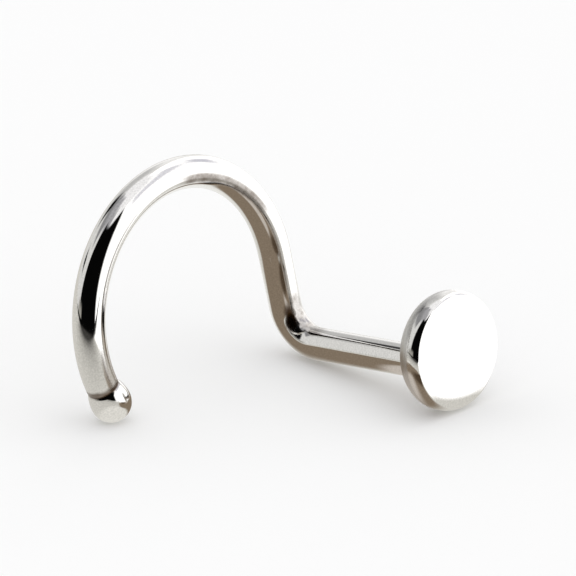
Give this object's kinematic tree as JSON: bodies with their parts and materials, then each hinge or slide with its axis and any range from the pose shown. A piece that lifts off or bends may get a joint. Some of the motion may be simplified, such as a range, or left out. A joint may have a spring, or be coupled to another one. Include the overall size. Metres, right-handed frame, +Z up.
{
  "type": "nose stud",
  "caption": "Nose stud of polished silver wire: a flat round disc on a straight post, bent into an open round hook that ends in a small ball.",
  "frame": {"origin": "middle of the stud's outline, on the surface that it rests on", "axes": "+Z up as the stud lies on a table, +X the way the post heads towards the disc seen from above, +Y away from the hook"},
  "size_m": [0.0068, 0.0088, 0.0057],
  "materials": {
    "silver": "polished silver, finely drawn, with dark tarnish in the joints"
  },
  "bodies": {
    "root": {"nose_stud": "silver"}
  },
  "joints": []
}
